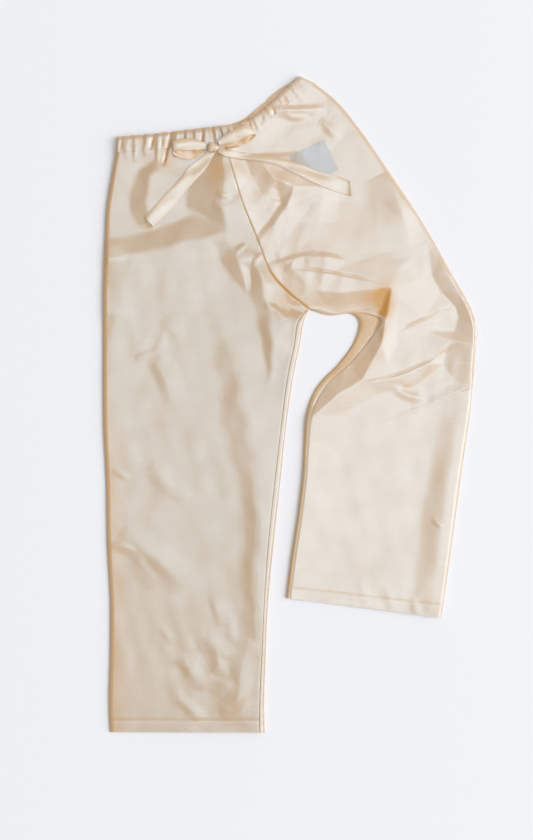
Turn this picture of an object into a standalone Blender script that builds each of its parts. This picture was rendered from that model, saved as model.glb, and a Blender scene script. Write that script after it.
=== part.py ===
# Silk drawstring trousers laid flat on the floor, front up, with the left leg bent at the knee.
# Tables are in millimetres: +X is the wearer's left, +Y runs from hem to waist, Z is height
# above the floor. The meshes are made in metres.

import math

import bmesh
import bpy
import numpy as np
from mathutils import Vector
from mathutils.bvhtree import BVHTree

for old in list(bpy.data.objects):
    bpy.data.objects.remove(old, do_unlink=True)

MM = 0.001
WALL = 1.2
CASING_WALL = 2.4
TAPE_WALL = 1.4
LABEL_WALL = 0.9
HEM_DEPTH = 21.0
HEM_WALL = 1.9
SEAM_GAP = 0.32
ROLL_WIDTH = 4.0
CASING_DEPTH = 26.0
SLIT_WIDTH = 5.0

# Height of the front's middle surface where it lies on the back with no fold.
REST = 4.6
LOWEST = 3.7
FALL = 42.0

# Middle of the outline in the tables below, which becomes the origin.
MIDDLE = (-0.47, 2.02)

CREAM = (0.80, 0.735, 0.63, 1.0)
IVORY = (0.83, 0.77, 0.68, 1.0)
LABEL_GREY = (0.52, 0.52, 0.54, 1.0)

# One row for each line across the hips, from casing to crotch. The centre is the middle seam.
# sag bows the line across the left hip toward the hem, and rows is the mesh rows that follow.
HIP_COLUMNS = "right_x right_y centre_x centre_y left_x left_y right_lift left_lift sag rows"
HIPS = (
    (-300, 434, -113, 452, 42, 553, 8.0, 6.0, 9, 2),
    (-308, 391, -99, 402, 82, 520, 8.5, 6.5, 6, 2),
    (-316, 340, -82, 347, 123, 469, 8.0, 7.0, 3, 3),
    (-319, 285, -58, 288, 169, 402, 7.5, 7.5, 0, 3),
    (-321, 230, -35, 231, 218, 328, 8.5, 8.0, 0, 2),
    (-322, 195, -4, 195, 247, 280, 8.5, 8.0, 0, 1),
    (-322, 161, 32, 166, 271, 236, 8.0, 8.5, 0, 1),
)

# One row for each line across a leg. wrap is how far the back panel comes over the inner edge.
LEG_COLUMNS = "outer_x outer_y inner_x inner_y wrap outer_lift inner_lift rows"
RIGHT_LEG = (
    (-322, 140, 22, 144, 9, 8.0, 8.0, 1),
    (-322, 104, 15, 104, 9, 7.5, 7.0, 2),
    (-322, 44, 3, 44, 9, 8.0, 7.0, 3),
    (-321, -42, -9, -42, 8, 8.5, 6.5, 2),
    (-317, -128, -18, -128, 9, 7.5, 6.5, 3),
    (-315, -231, -29, -231, 9, 8.0, 7.0, 2),
    (-310, -335, -39, -335, 6, 8.5, 7.0, 2),
    (-310, -421, -43, -421, 6, 8.0, 6.5, 2),
    (-312, -507, -46, -507, 7, 7.5, 6.0, 2),
    (-310, -562, -45, -562, 9, 7.0, 6.0, 0),
)
LEFT_LEG = (
    (288, 207, 68, 156, 6, 8.5, 8.0, 2),
    (302, 183, 101, 159, 14, 8.5, 8.0, 2),
    (314, 157, 118, 147, 36, 8.5, 8.0, 2),
    (321, 130, 116, 125, 29, 8.5, 8.0, 2),
    (320, 109, 104, 99, 22, 8.5, 8.5, 2),
    (317, 85, 80, 68, 19, 8.0, 8.0, 2),
    (315, 54, 54, 42, 15, 8.0, 7.5, 2),
    (312, 23, 37, 15, 12, 8.0, 7.0, 2),
    (309, -11, 27, -20, 9, 8.0, 7.0, 2),
    (302, -59, 24, -63, 7, 7.5, 7.0, 2),
    (293, -120, 21, -121, 7, 7.5, 7.5, 2),
    (283, -197, 13, -188, 6, 7.0, 7.5, 2),
    (271, -283, 2, -261, 6, 7.0, 7.0, 2),
    (259, -364, -7, -331, 6, 6.5, 6.5, 0),
)

# One row for each fold: a curved crest from start past bend to end, its height (a trough's is
# negative), and how wide its slope is on the left and on the right, looking from start to end.
FOLD_COLUMNS = "start_x start_y bend_x bend_y end_x end_y height left right"
FOLDS = (
    # right hip
    (-205, 425, -240, 385, -240, 305, 7, 36, 22),
    (-111, 422, -94, 367, -77, 322, 7, 26, 46),
    (-108, 324, -190, 280, -314, 230, 8, 50, 30),
    # fork of the right leg
    (-113, 267, -66, 195, -39, 70, -3, 21, 21),
    (-90, 247, -70, 264, -49, 285, 5, 14, 14),
    (-49, 219, -27, 202, -1, 178, 6, 17, 17),
    # right thigh and shin
    (-108, 95, -73, 9, -61, -111, 5, 32, 26),
    (-61, -111, -59, -266, -59, -421, 5, 15, 26),
    (-242, 92, -200, 54, -188, -59, 5, 36, 17),
    (-269, 73, -242, 95, -214, 95, 3, 12, 12),
    (-293, -218, -224, -266, -173, -314, 5, 36, 32),
    (-245, -104, -216, -135, -176, -163, 3, 18, 18),
    (-75, -465, -83, -510, -118, -534, 4, 18, 22),
    # left hip and belly
    (-42, 508, 13, 505, 61, 512, 4, 15, 15),
    (161, 402, 195, 329, 207, 257, 6, 45, 45),
    (54, 395, 59, 353, 51, 316, 4, 38, 31),
    (-58, 285, -28, 316, 9, 378, 5, 16, 24),
    (-59, 426, -28, 384, 13, 374, 5, 17, 26),
    (-32, 240, 25, 259, 89, 264, 5, 22, 15),
    # left knee
    (9, 235, 94, 224, 178, 204, 9, 42, 22),
    (34, 204, 102, 190, 160, 196, 6, 16, 28),
    (172, 214, 168, 150, 171, 95, 12, 20, 24),
    (140, 181, 144, 150, 137, 121, -3, 16, 16),
    (168, 104, 130, 54, 54, -11, 9, 30, 22),
    (185, 135, 226, 145, 278, 171, 5, 15, 15),
    (47, -25, 185, 44, 298, 113, 6, 22, 40),
    (267, 250, 302, 185, 319, 130, 6, 12, 26),
    (310, 106, 305, 68, 302, 27, 6, 12, 36),
    # left shin
    (290, -4, 262, -163, 242, -355, 6, 17, 36),
)

# One row for each gather of the waist: its top, its foot on the panel, height and half width.
GATHER_COLUMNS = "top_x top_y foot_x foot_y height half"
GATHERS = (
    (-280, 464, -283, 402, 2.5, 9),
    (-264, 465, -269, 388, 3.5, 8),
    (-242, 467, -249, 395, 4.0, 8),
    (-224, 469, -231, 405, 3.5, 7),
    (-206, 469, -219, 412, -3.0, 7),
    (-194, 470, -197, 395, 4.5, 7),
    (-180, 472, -180, 402, 3.0, 7),
    (-164, 476, -163, 422, 3.5, 7),
    (-144, 477, -142, 422, 3.5, 7),
    (-128, 479, -125, 422, 3.5, 6),
    (-94, 486, -90, 426, 3.5, 7),
    (-77, 493, -68, 439, 4.5, 7),
    (-58, 512, -42, 457, 3.5, 8),
    (-39, 531, -18, 484, 2.5, 9),
    (-16, 546, 9, 498, 2.5, 9),
    (3, 558, 30, 519, 2.0, 9),
)

# Waist edge, from each side seam to the slit: the share of the way, the outline, and how far
# the back's edge stands out beyond the front's there.
WAIST_COLUMNS = "share edge_x edge_y beyond"
WAIST_RIGHT = (
    (0.00, -297, 461, 0),
    (0.33, -240, 466, 0),
    (0.66, -180, 473, 0),
    (1.00, -121, 480, 0),
)
WAIST_LEFT = (
    (0.00, 16, 565, 0),
    (0.27, -22, 541, 8),
    (0.53, -53, 514, 9),
    (0.78, -84, 490, 5),
    (1.00, -121, 480, 0),
)

# Tape of the bow: both edges, how high it floats over the cloth, from the knot outward.
TAPE_COLUMNS = "left_x left_y right_x right_y lift"
END_RIGHT = (
    (-143, 436, -131, 433, 0.9),
    (-160, 422, -144, 409, 0.6),
    (-176, 408, -160, 391, 0.4),
    (-188, 393, -173, 376, 0.4),
    (-202, 377, -188, 359, 0.4),
    (-224, 353, -212, 331, 0.4),
    (-250, 324, -236, 307, 0.4),
)
END_LEFT = (
    (-123, 443, -125, 434, 0.9),
    (-86, 435, -104, 426, 0.6),
    (-47, 431, -58, 420, 0.4),
    (-1, 421, -22, 413, 0.4),
    (24, 412, 5, 400, 0.4),
    (50, 402, 31, 387, 0.4),
    (82, 394, 72, 370, 0.4),
    (102, 386, 105, 360, 0.4),
)
LOOP_RIGHT = (
    (-146, 447, -147, 439, 0.8),
    (-166, 442, -166, 424, 0.5),
    (-186, 442, -183, 424, 0.6),
    (-198, 446, -196, 427, 2.2),
    (-201, 451, -201, 432, 5.2),
    (-196, 454, -196, 435, 7.8),
    (-172, 457, -170, 438, 8.4),
    (-147, 453, -148, 442, 6.6),
)
LOOP_LEFT = (
    (-123, 452, -122, 447, 0.8),
    (-106, 460, -97, 443, 0.8),
    (-88, 470, -77, 451, 0.8),
    (-76, 478, -64, 459, 2.2),
    (-72, 482, -61, 463, 5.2),
    (-78, 481, -69, 465, 7.8),
    (-101, 471, -93, 453, 8.4),
    (-123, 457, -120, 448, 6.6),
)
KNOT = (-134, 446)
KNOT_SIZE = (10, 9, 6)
LABEL = ((-1, 429), (58, 457), (80, 405), (22, 378))


def columns(names, rows):
    return dict(zip(names.split(), np.array(rows, float).T))


def along(values, place):
    """A smooth curve through the values, at each place counted in rows."""
    values = np.asarray(values, float)
    place = np.clip(np.asarray(place, float), 0, len(values) - 1)
    i = np.minimum(place.astype(int), len(values) - 2)
    f = place - i
    before = values[np.maximum(i - 1, 0)]
    here = values[i]
    after = values[i + 1]
    last = values[np.minimum(i + 2, len(values) - 1)]
    rise = (after - before) / 2
    fall = (last - here) / 2
    return (
        here * (2 * f**3 - 3 * f**2 + 1)
        + rise * (f**3 - 2 * f**2 + f)
        + after * (3 * f**2 - 2 * f**3)
        + fall * (f**3 - f**2)
    )


def ease(x):
    x = np.clip(x, 0, 1)
    return x * x * (3 - 2 * x)


def crest(x, y, start, bend, end, height, left, right):
    """The height that one fold adds at each point."""
    steps = np.linspace(0, 1, 13)[:, None]
    line = (1 - steps) ** 2 * start + 2 * steps * (1 - steps) * bend + steps**2 * end
    heading = line[1:] - line[:-1]
    length = np.hypot(heading[:, 0], heading[:, 1])
    heading = heading / length[:, None]
    dx = x[..., None] - line[:-1, 0]
    dy = y[..., None] - line[:-1, 1]
    reached = np.clip(dx * heading[:, 0] + dy * heading[:, 1], 0, length)
    off_x = dx - reached * heading[:, 0]
    off_y = dy - reached * heading[:, 1]
    off = np.hypot(off_x, off_y)
    near = np.argmin(off, axis=-1)[..., None]
    gap = np.take_along_axis(off, near, -1)[..., 0]
    aside = heading[:, 0] * off_y - heading[:, 1] * off_x
    turned = np.take_along_axis(aside, near, -1)[..., 0] / np.maximum(gap, 1e-6)
    done = (near[..., 0] + np.take_along_axis(reached / length, near, -1)[..., 0]) / len(heading)
    reach = right + (left - right) * ease((turned + 1) / 2)
    return height * np.sin(np.pi * (0.12 + 0.76 * done)) ** 0.7 * ease(1 - gap / reach)


def folds(x, y):
    """All folds and gathers together."""
    total = np.zeros_like(x)
    for row in FOLDS:
        start, bend, end = np.array(row[:6], float).reshape(3, 2)
        total += crest(x, y, start, bend, end, *row[6:])
    for row in GATHERS:
        top, foot = np.array(row[:4], float).reshape(2, 2)
        top = top - 0.35 * (foot - top)
        total += crest(x, y, top, (top + foot) / 2, foot, row[4], row[5], row[5])
    return total


def waist_edge(side, share, front):
    """Points of the waist edge at these shares of the way from the side seam to the slit."""
    waist = columns(WAIST_COLUMNS, WAIST_RIGHT if side == "right" else WAIST_LEFT)
    place = np.interp(share, waist["share"], np.arange(len(waist["share"])))
    edge = np.stack([along(waist["edge_x"], place), along(waist["edge_y"], place)], -1)
    beyond = along(waist["beyond"], place)[..., None] * (1 if front else 0)
    return edge + beyond * np.array((0.6, -0.8))


SHARES = np.linspace(0, 1, 31)
WAIST_LINE = np.concatenate([waist_edge("right", SHARES, False), waist_edge("left", SHARES, False)])


def puff(x, y):
    """The casing's cord and gathers hold the waist a little higher."""
    near = np.hypot(x[..., None] - WAIST_LINE[:, 0], y[..., None] - WAIST_LINE[:, 1])
    return 3.0 * ease(1 - (np.min(near, axis=-1) - 20) / 45)


def section(outer, inner, sag, u):
    """Points at the distances u along the bowed line from outer to inner."""
    reach = inner - outer
    width = np.hypot(*reach)
    unit = reach / width
    across = np.array((unit[1], -unit[0]))
    if across[1] > 0:
        across = -across
    f = u / width
    return outer + unit * u[:, None] + across * (6.75 * sag * (1 - f) * f * f)[:, None]


def front_height(x, y, u, width, outer_lift, inner_lift):
    """Middle surface of the front: at rest, raised by folds and at both rolled edges."""
    x, y, u = np.asarray(x, float), np.asarray(y, float), np.asarray(u, float)
    z = REST + puff(x, y) + folds(x, y)
    z = z + (outer_lift - REST) * np.exp(-((u / FALL) ** 2))
    z = z + (inner_lift - REST) * np.exp(-(((width - u) / FALL) ** 2))
    return np.maximum(z, LOWEST)


def stations(side):
    """Lines across one leg from casing to hem, with the mesh rows between them filled in."""
    hip = columns(HIP_COLUMNS, HIPS)
    leg = columns(LEG_COLUMNS, RIGHT_LEG if side == "right" else LEFT_LEG)
    lift = hip[side + "_lift"]
    sag = hip["sag"] if side == "left" else hip["sag"] * 0
    zero = leg["wrap"] * 0
    whole = {
        "outer_x": np.concatenate([hip[side + "_x"], leg["outer_x"]]),
        "outer_y": np.concatenate([hip[side + "_y"], leg["outer_y"]]),
        "inner_x": np.concatenate([hip["centre_x"], leg["inner_x"]]),
        "inner_y": np.concatenate([hip["centre_y"], leg["inner_y"]]),
        "outer_lift": np.concatenate([lift, leg["outer_lift"]]),
        "inner_lift": np.concatenate([lift * 0 + REST, leg["inner_lift"]]),
        "wrap": np.concatenate([lift * 0, leg["wrap"]]),
        "sag": np.concatenate([sag, zero]),
    }
    count = np.concatenate([hip["rows"], leg["rows"]]).astype(int)
    crotch = len(lift) - 1
    place = []
    for i in range(len(count) - 1):
        place += list(i + np.arange(count[i]) / count[i])
    place.append(len(count) - 1)
    place = np.array(place)
    rows = []
    for p in place:
        row = {name: float(along(values, p)) for name, values in whole.items()}
        for axis in ("x", "y"):
            seam = hip["centre_" + axis]
            if p > crotch:
                row["inner_" + axis] = float(along(np.append(seam[-1], leg["inner_" + axis]), p - crotch))
            else:
                row["inner_" + axis] = float(along(seam, p))
        row["outer"] = np.array((row["outer_x"], row["outer_y"]))
        row["inner"] = np.array((row["inner_x"], row["inner_y"]))
        row["wrap"] = max(row["wrap"], 0.0)
        row["closed"] = float(ease((p - crotch + 1.0) / 1.0))
        row["leg"] = p > crotch + 0.01
        rows.append(row)
    seams = []
    for row in rows:
        unit = (row["inner"] - row["outer"]) / np.hypot(*(row["inner"] - row["outer"]))
        row["unit"] = unit
        seams.append(row["inner"] - unit * row["wrap"])
    for i, row in enumerate(rows):
        run = seams[min(i + 1, len(seams) - 1)] - seams[max(i - 1, 0)]
        slant = abs(run[0] * row["unit"][1] - run[1] * row["unit"][0]) / np.hypot(*run)
        near_crotch = math.exp(-(place[i] - crotch) / 1.5) if row["leg"] else 0.0
        row["gap"] = SEAM_GAP * (1.6 + 6.6 * near_crotch if row["leg"] else 0.7) / max(slant, 0.2)
    length = sum(np.hypot(*(b["outer"] - a["outer"])) for a, b in zip(rows, rows[1:]))
    walked = 0.0
    for a, b in zip([rows[0], *rows], rows):
        walked += float(np.hypot(*(b["outer"] - a["outer"])))
        b["to_hem"] = length - walked
    return rows


def hem_rows(rows):
    """The hem turns up inside, so the wall thickens over the last rows."""
    last = rows[-1]
    before = rows[-2]
    reach = before["to_hem"]
    added = []
    for distance in (HEM_DEPTH + 2, HEM_DEPTH - 1):
        f = 1 - distance / reach
        row = dict(last)
        for name in ("outer", "inner", "wrap", "outer_lift", "inner_lift"):
            row[name] = before[name] * (1 - f) + last[name] * f
        row["to_hem"] = distance
        added.append(row)
    return [*rows[:-1], *added, last]


def wall_at(row):
    return HEM_WALL if row["to_hem"] < HEM_DEPTH else WALL


def front_panel(row, count):
    """Middle surface of the front at one line: the roll at the side, then the top."""
    outer, inner = row["outer"], row["inner"]
    width = float(np.hypot(*(inner - outer)))
    end = width - (max(row["wrap"], ROLL_WIDTH + 1.5) if row["leg"] else 0) - row["gap"]
    edge = section(outer, inner, row["sag"], np.array([ROLL_WIDTH]))[0]
    top = float(front_height(edge[0], edge[1], ROLL_WIDTH, width, row["outer_lift"], row["inner_lift"]))
    middle = (top + WALL / 2) / 2
    turn = np.radians((176, 148, 118))
    u = np.concatenate([ROLL_WIDTH + ROLL_WIDTH * np.cos(turn), np.linspace(ROLL_WIDTH, end, count)])
    flat = section(outer, inner, row["sag"], u)
    z = front_height(flat[:, 0], flat[:, 1], u, width, row["outer_lift"], row["inner_lift"])
    z[:3] = middle + (top - middle) * np.sin(turn)
    return np.column_stack([flat, z])


def back_panel(row, count):
    """Middle surface of the back: the roll at the side, the flat, then over the inner edge."""
    row = dict(row, sag=0.0)
    outer, inner = row["outer"], row["inner"]
    width = float(np.hypot(*(inner - outer)))
    ends = np.array([ROLL_WIDTH, width - ROLL_WIDTH])
    edge = section(outer, inner, row["sag"], ends)
    tops = front_height(edge[:, 0], edge[:, 1], ends, width, row["outer_lift"], row["inner_lift"])
    low = WALL / 2
    turn = np.radians((184, 212, 242))
    middle = (tops[0] + low) / 2
    roll_u = ROLL_WIDTH + ROLL_WIDTH * np.cos(turn)
    roll_z = middle + (middle - low) * np.sin(turn)
    flat_u = np.linspace(ROLL_WIDTH, width - ROLL_WIDTH - 1, count)
    middle = (tops[1] + low) / 2
    wrap = max(row["wrap"], ROLL_WIDTH + 1.5)
    turn = np.radians((-58, -20, 18, 54, 90))
    over_u = np.array([width - ROLL_WIDTH - (wrap - ROLL_WIDTH) * 0.6, width - wrap])
    over = section(outer, inner, row["sag"], over_u)
    over_z = front_height(over[:, 0], over[:, 1], over_u, width, row["outer_lift"], row["inner_lift"])
    closed_u = np.append(width - ROLL_WIDTH + ROLL_WIDTH * np.cos(turn), over_u)
    closed_z = np.append(middle + (middle - low) * np.sin(turn), over_z)
    if not row["leg"]:
        rise = row["closed"]
        side = np.radians(np.linspace(-70, -5 - 30 * (1 - rise), 7))
        open_u = np.linspace(width - ROLL_WIDTH, width - SEAM_GAP - 1.3 * rise, 7)
        closed_u = open_u
        closed_z = low + (middle - low) * rise * (1 + np.sin(side))
    u = np.concatenate([roll_u, flat_u, closed_u])
    z = np.concatenate([roll_z, flat_u * 0 + low, closed_z])
    return np.column_stack([section(outer, inner, row["sag"], u), z])


def normals(grid):
    """Unit normals of a grid of points, upward on an open top."""
    rows = np.gradient(grid, axis=0, edge_order=2)
    across = np.gradient(grid, axis=1, edge_order=2)
    normal = np.cross(rows, across)
    return normal / np.maximum(np.linalg.norm(normal, axis=2, keepdims=True), 1e-9)


def material(name, colour, roughness, sheen):
    made = bpy.data.materials.new(name)
    made.use_nodes = True
    shader = made.node_tree.nodes["Principled BSDF"]
    shader.inputs["Base Color"].default_value = colour
    shader.inputs["Roughness"].default_value = roughness
    shader.inputs["Metallic"].default_value = 0.0
    shader.inputs["Sheen Weight"].default_value = sheen
    return made


def make(name, points, faces, look):
    mesh = bpy.data.meshes.new(name)
    shift = np.array((MIDDLE[0], MIDDLE[1], 0.0))
    mesh.from_pydata([tuple((p - shift) * MM) for p in points], [], faces)
    work = bmesh.new()
    work.from_mesh(mesh)
    bmesh.ops.triangulate(work, faces=work.faces)
    bmesh.ops.recalc_face_normals(work, faces=work.faces)
    work.to_mesh(mesh)
    work.free()
    made = bpy.data.objects.new(name, mesh)
    bpy.context.scene.collection.objects.link(made)
    mesh.materials.append(look)
    return made


def shell(name, grid, wall, outward, look):
    """A closed sheet of cloth. Its outer face is half a wall off the grid, up or down."""
    thick = np.broadcast_to(np.asarray(wall, float), grid.shape[:2])[..., None]
    normal = normals(grid)
    if normal[..., 2].mean() * outward < 0:
        normal = -normal
    outside = grid + normal * thick.min() / 2
    inside = outside - normal * thick
    rows, across = grid.shape[:2]
    points = np.concatenate([outside.reshape(-1, 3), inside.reshape(-1, 3)])
    half = rows * across
    faces = []
    for i in range(rows - 1):
        for j in range(across - 1):
            a = i * across + j
            b = half + a
            faces.append((a, a + 1, a + 1 + across, a + across))
            faces.append((b, b + across, b + 1 + across, b + 1))
    rim = list(range(across))
    rim += [i * across + across - 1 for i in range(1, rows)]
    rim += [(rows - 1) * across + j for j in range(across - 2, -1, -1)]
    rim += [i * across for i in range(rows - 2, 0, -1)]
    for a, b in zip(rim, [*rim[1:], rim[0]]):
        faces.append((b, a, half + a, half + b))
    return make(name, points, faces, look)


silk = material("cream silk", CREAM, 0.42, 0.25)
silk_tape = material("ivory silk tape", IVORY, 0.40, 0.25)
label_cloth = material("grey woven label", LABEL_GREY, 0.8, 0.0)

# The four leg panels. Each back lies on the floor, and each front lies on its back.
FRONT_COLUMNS = {"right": 18, "left": 21}
BACK_COLUMNS = {"right": 4, "left": 4}
tops = []
for side in ("right", "left"):
    lines = hem_rows(stations(side))
    walls = [[wall_at(row)] for row in lines]
    front = np.array([front_panel(row, FRONT_COLUMNS[side]) for row in lines])
    back = np.array([back_panel(row, BACK_COLUMNS[side]) for row in lines])
    tops.append(shell(f"front_{side}_leg", front, walls, 1, silk))
    shell(f"back_{side}_leg", back, walls, -1, silk)


def casing(side, count, front):
    """Middle surface of half the casing, from the side seam to the slit, edge row first."""
    line = stations(side)[0]
    outer, inner = line["outer"], line["inner"]
    width = float(np.hypot(*(inner - outer)))
    end = width - (SLIT_WIDTH / 2 if front else 0)
    u = np.concatenate([[0.0, 1.0, 2.2], np.linspace(ROLL_WIDTH, end, count)])
    seam = section(outer, inner, line["sag"] if front else 0.0, u)
    edge = waist_edge(side, u / width, front)
    down = np.linspace(0, 1 - 2.2 * SEAM_GAP / CASING_DEPTH, 4)[:, None, None]
    flat = edge + (seam - edge) * down
    x, y = flat[..., 0], flat[..., 1]
    lift = line["outer_lift"]
    raised = front_height(x, y, u, width, lift, REST) + 0.8 * np.sin(np.pi * down[..., 0])
    raised = np.maximum(raised, 6.3)
    low = CASING_WALL / 2
    middle = (raised[:, 3:4] + low) / 2
    if front:
        z = raised
        turn = np.radians((175, 145, 116))
    else:
        z = low + 0.4 * np.clip(folds(x, y), 0, 4.5)
        z[:, 3] = low
        turn = np.radians((185, 215, 244))
    z[:, :3] = middle + (middle - low) * np.sin(turn)
    shift = ROLL_WIDTH + ROLL_WIDTH * np.cos(turn) - u[:3]
    heading = (flat[:, 4] - flat[:, 3]) / np.linalg.norm(flat[:, 4] - flat[:, 3], axis=1)[:, None]
    flat[:, :3] += heading[:, None, :] * shift[None, :, None]
    return np.concatenate([flat, z[..., None]], axis=2)


tops.append(shell("casing_front_right", casing("right", 30, True), CASING_WALL, 1, silk))
tops.append(shell("casing_front_left", casing("left", 26, True), CASING_WALL, 1, silk))
back_half = casing("left", 12, False)[:, ::-1]
back_casing = np.concatenate([casing("right", 12, False), back_half[:, 1:]], axis=1)
shell("casing_back", back_casing, CASING_WALL, -1, silk)

# The bow lies on the front: its tape is made from the cloth's own heights, moved up.
cover_points = []
cover_faces = []
middle = Vector((MIDDLE[0], MIDDLE[1], 0.0))
for cover in tops:
    base = len(cover_points)
    cover_points += [v.co / MM + middle for v in cover.data.vertices]
    cover_faces += [[base + i for i in face.vertices] for face in cover.data.polygons]
COVER = BVHTree.FromPolygons(cover_points, cover_faces)


def cloth_top(x, y, around):
    """The highest cloth within a few millimetres of a point."""
    best = 0.0
    for step in range(9):
        reach = around if step else 0.0
        side = Vector((math.cos(step * math.pi / 4), math.sin(step * math.pi / 4), 0)) * reach
        hit = COVER.ray_cast(Vector((x, y, 90)) + side, Vector((0, 0, -1)))
        if hit[0] is not None:
            best = max(best, hit[0].z)
    return best


def tape(name, rows, steps, across):
    """A strip of tape from the knot outward, closed as a solid of its own."""
    table = columns(TAPE_COLUMNS, rows)
    place = np.linspace(0, len(rows) - 1, (len(rows) - 1) * steps + 1)
    left = np.stack([along(table["left_x"], place), along(table["left_y"], place)], -1)
    right = np.stack([along(table["right_x"], place), along(table["right_y"], place)], -1)
    lift = along(table["lift"], place)
    grid = np.zeros((len(place), across, 3))
    for j in range(across):
        f = j / (across - 1)
        grid[:, j, :2] = left * (1 - f) + right * f
    for i in range(len(place)):
        tops_here = [cloth_top(*grid[i, j, :2], 4.5) for j in range(across)]
        for j in range(across):
            near = max(tops_here[max(0, j - 1) : j + 2])
            grid[i, j, 2] = near + TAPE_WALL / 2 + lift[i]
    return shell(name, grid, TAPE_WALL, 1, silk_tape)


tape("drawstring_end_right", END_RIGHT, 2, 4)
tape("drawstring_end_left", END_LEFT, 2, 4)
tape("bow_loop_right", LOOP_RIGHT, 2, 4)
tape("bow_loop_left", LOOP_LEFT, 2, 4)

# The knot is a soft lump of the same tape.
KNOT_RINGS = 7
KNOT_SIDES = 12
knot_points = [np.array((0.0, 0.0, -1.0))]
for ring in range(1, KNOT_RINGS):
    tilt = math.pi * ring / KNOT_RINGS
    for step in range(KNOT_SIDES):
        turn = 2 * math.pi * step / KNOT_SIDES
        lump = 1 + 0.07 * math.cos(3 * turn + 0.6)
        reach = math.sin(tilt) * lump
        knot_points.append(np.array((reach * math.cos(turn), reach * math.sin(turn), -math.cos(tilt))))
knot_points.append(np.array((0.0, 0.0, 1.0)))
knot_points = [p * KNOT_SIZE + (KNOT[0], KNOT[1], 0.0) for p in knot_points]
# It sinks until its underside just clears the cloth.
lowest = max(cloth_top(p[0], p[1], 1.5) - p[2] for p in knot_points if p[2] < 0)
knot_points = [p + (0.0, 0.0, lowest + 0.35) for p in knot_points]
knot_faces = []
for step in range(KNOT_SIDES):
    after = (step + 1) % KNOT_SIDES
    knot_faces.append((0, 1 + after, 1 + step))
    for ring in range(KNOT_RINGS - 2):
        base = 1 + ring * KNOT_SIDES
        knot_faces.append((base + step, base + after, base + KNOT_SIDES + after, base + KNOT_SIDES + step))
    base = 1 + (KNOT_RINGS - 2) * KNOT_SIDES
    knot_faces.append((base + step, base + after, len(knot_points) - 1))
make("drawstring_knot", knot_points, knot_faces, silk_tape)

# The blank label lies between the left front and back.
corners = np.array(LABEL, float)
label_grid = np.zeros((3, 4, 3))
for i in range(3):
    for j in range(4):
        top_edge = corners[0] * (1 - j / 3) + corners[1] * j / 3
        low_edge = corners[3] * (1 - j / 3) + corners[2] * j / 3
        label_grid[i, j, :2] = top_edge * (1 - i / 2) + low_edge * i / 2
label_grid[..., 2] = WALL + 0.35 + LABEL_WALL / 2
shell("size_label", label_grid, LABEL_WALL, 1, label_cloth)
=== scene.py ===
# Silk drawstring trousers laid flat on a studio floor, front up, with the left leg bent at the knee.
# Tables are in millimetres on the laid cloth: +X is the wearer's left, +Y runs from hem to waist,
# and Z is the height above the floor. Meshes are made in metres.
import math

import bpy
import numpy as np
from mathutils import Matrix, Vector
from mathutils.bvhtree import BVHTree
from mathutils.geometry import delaunay_2d_cdt


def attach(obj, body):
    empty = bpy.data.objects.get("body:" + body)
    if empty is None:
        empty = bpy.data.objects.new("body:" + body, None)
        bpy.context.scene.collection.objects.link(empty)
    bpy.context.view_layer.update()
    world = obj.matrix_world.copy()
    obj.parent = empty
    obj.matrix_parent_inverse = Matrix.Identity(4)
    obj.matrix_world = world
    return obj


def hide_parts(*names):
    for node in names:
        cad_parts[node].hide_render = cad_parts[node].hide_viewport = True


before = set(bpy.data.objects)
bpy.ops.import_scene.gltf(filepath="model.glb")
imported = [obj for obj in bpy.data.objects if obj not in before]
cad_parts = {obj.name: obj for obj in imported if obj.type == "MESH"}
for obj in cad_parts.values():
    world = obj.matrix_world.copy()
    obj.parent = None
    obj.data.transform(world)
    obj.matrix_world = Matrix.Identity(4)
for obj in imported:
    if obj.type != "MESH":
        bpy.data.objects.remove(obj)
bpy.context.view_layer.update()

MM = 0.001

# Camera straight above, and a big soft window of light overhead and to the right, so that cloth
# that tips to the right shines and cloth that tips to the left goes deep cream.
def put(name, data):
    """A new object in the scene."""
    made = bpy.data.objects.new(name, data)
    bpy.context.scene.collection.objects.link(made)
    return made


camera = bpy.data.cameras.new("overhead")
camera.sensor_fit = "AUTO"
camera.sensor_width = 24.0
camera.lens = 66.35
camera_stand = put("overhead", camera)
camera_stand.location = (-0.0408, -0.0270, 4.0)
bpy.context.scene.camera = camera_stand


def softbox(name, place, width, length, watts, tint):
    lamp = bpy.data.lights.new(name, "AREA")
    lamp.shape = "RECTANGLE"
    lamp.size = width
    lamp.size_y = length
    lamp.energy = watts
    lamp.color = tint
    stand = put(name, lamp)
    stand.location = place
    stand.rotation_euler = (-Vector(place)).to_track_quat("-Z", "Y").to_euler()
    stand.visible_camera = False


softbox("ceiling_softbox", (10.7, 0.6, 27.5), 14.0, 32.4, 4420, (0.93, 0.97, 1.0))
softbox("side_softbox", (19.8, -1.6, 14.8), 22.0, 20.0, 3660, (0.975, 0.975, 0.97))

room = bpy.data.worlds.new("studio")
room.use_nodes = True
room.node_tree.nodes["Background"].inputs["Color"].default_value = (1.0, 0.88, 0.73, 1.0)
room.node_tree.nodes["Background"].inputs["Strength"].default_value = 0.355
bpy.context.scene.world = room
bpy.context.scene.view_settings.view_transform = "Standard"


# The studio floor is a sheet of matte pale paper, painted smooth, with a trace of grain.
def linear(code):
    """An sRGB hex colour as linear red, green, blue and alpha."""
    parts = [int(code[i : i + 2], 16) / 255 for i in (0, 2, 4)]
    return (*[p / 12.92 if p <= 0.04045 else ((p + 0.055) / 1.055) ** 2.4 for p in parts], 1.0)


def node(tree, kind, sockets=(), **settings):
    """Adds a node with its settings, then its inputs, each a value or another node's output."""
    made = tree.nodes.new(kind)
    for name, value in settings.items():
        setattr(made, name, value)
    for name, value in dict(sockets).items():
        if isinstance(value, bpy.types.NodeSocket):
            tree.links.new(value, made.inputs[name])
        else:
            made.inputs[name].default_value = value
    return made


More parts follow.
